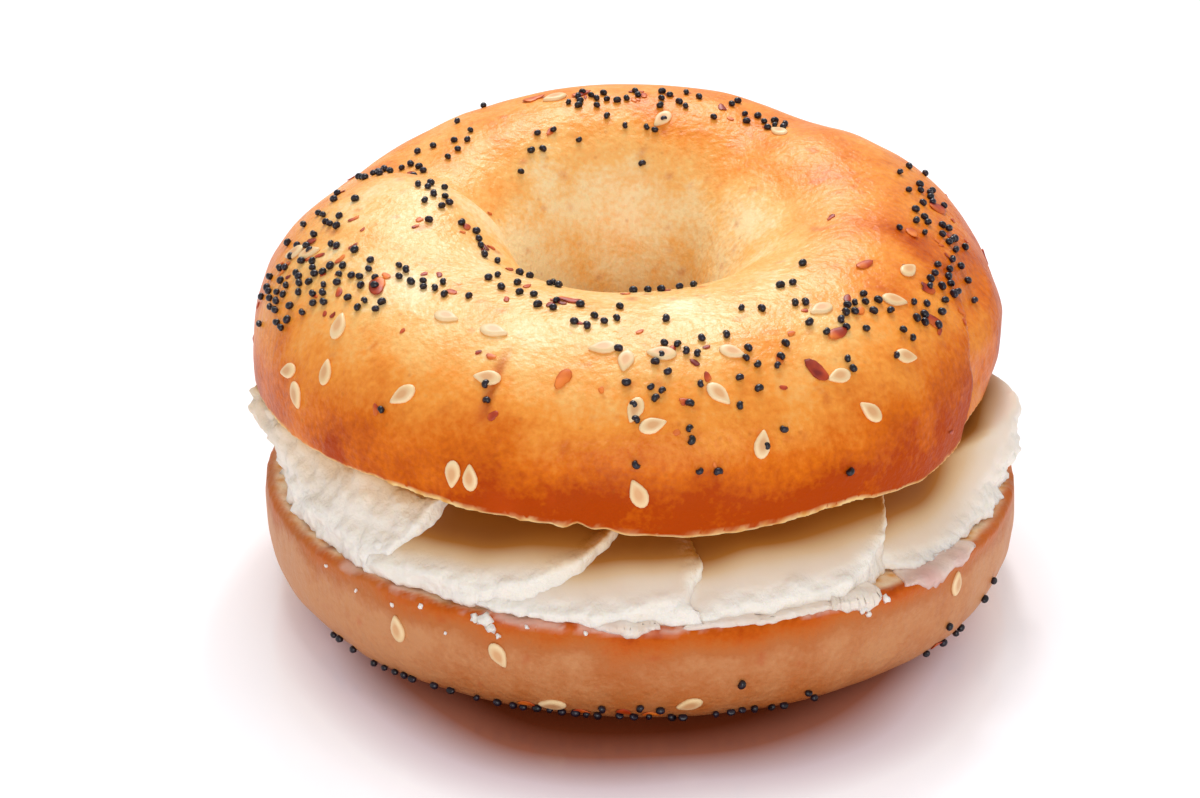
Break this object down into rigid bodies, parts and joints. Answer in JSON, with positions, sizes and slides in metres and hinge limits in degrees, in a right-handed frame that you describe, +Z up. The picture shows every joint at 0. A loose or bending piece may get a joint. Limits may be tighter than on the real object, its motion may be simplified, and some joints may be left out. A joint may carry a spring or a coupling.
{
  "type": "bagel",
  "caption": "Round seeded bagel sliced across, with thick slices of cream cheese between the two halves.",
  "frame": {"origin": "on the table, under the middle of the bagel's box", "axes": "+Z up through the hole, -Y towards the side from which the filling shows best, +X to its right"},
  "size_m": [0.0914, 0.0952, 0.0509],
  "materials": {
    "top_crust": "golden baked crust, satin",
    "bottom_crust": "paler baked crust, matt",
    "cream_cheese": "soft off-white, slightly moist",
    "sesame_seed": "ivory, satin",
    "onion_flake": "toasted, brittle, satin",
    "poppy_seed": "blue-black, satin"
  },
  "bodies": {
    "root": {"bottom_half": "bottom_crust", "top_half": "top_crust", "left_block": "cream_cheese", "left_petal": "cream_cheese", "front_slab": "cream_cheese", "right_petal": "cream_cheese", "right_slab": "cream_cheese", "back_right_slab": "cream_cheese", "back_left_slab": "cream_cheese", "thin_smear": "cream_cheese", "sesame_1": "sesame_seed", "sesame_2": "sesame_seed", "sesame_3": "sesame_seed", "sesame_4": "sesame_seed", "sesame_5": "sesame_seed", "sesame_6": "sesame_seed", "sesame_7": "sesame_seed", "sesame_8": "sesame_seed", "sesame_9": "sesame_seed", "sesame_10": "sesame_seed", "sesame_11": "sesame_seed", "sesame_12": "sesame_seed", "sesame_13": "sesame_seed", "sesame_14": "sesame_seed", "sesame_15": "sesame_seed", "sesame_16": "sesame_seed", "sesame_17": "sesame_seed", "sesame_18": "sesame_seed", "sesame_19": "sesame_seed", "sesame_20": "sesame_seed", "sesame_21": "sesame_seed", "sesame_22": "sesame_seed", "sesame_23": "sesame_seed", "sesame_24": "sesame_seed", "sesame_25": "sesame_seed", "sesame_26": "sesame_seed", "sesame_27": "sesame_seed", "sesame_28": "sesame_seed", "sesame_29": "sesame_seed", "sesame_30": "sesame_seed", "lower_sesame_1": "sesame_seed", "lower_sesame_2": "sesame_seed", "lower_sesame_3": "sesame_seed", "lower_sesame_4": "sesame_seed", "lower_sesame_5": "sesame_seed", "onion_flake_1": "onion_flake", "onion_flake_2": "onion_flake", "onion_flake_3": "onion_flake", "onion_flake_4": "onion_flake", "onion_flake_5": "onion_flake", "onion_flake_6": "onion_flake", "onion_flake_7": "onion_flake", "onion_flake_8": "onion_flake", "onion_flake_9": "onion_flake", "onion_flake_10": "onion_flake", "onion_flake_11": "onion_flake", "onion_flake_12": "onion_flake", "onion_flake_13": "onion_flake", "onion_flake_14": "onion_flake"}
  },
  "joints": []
}
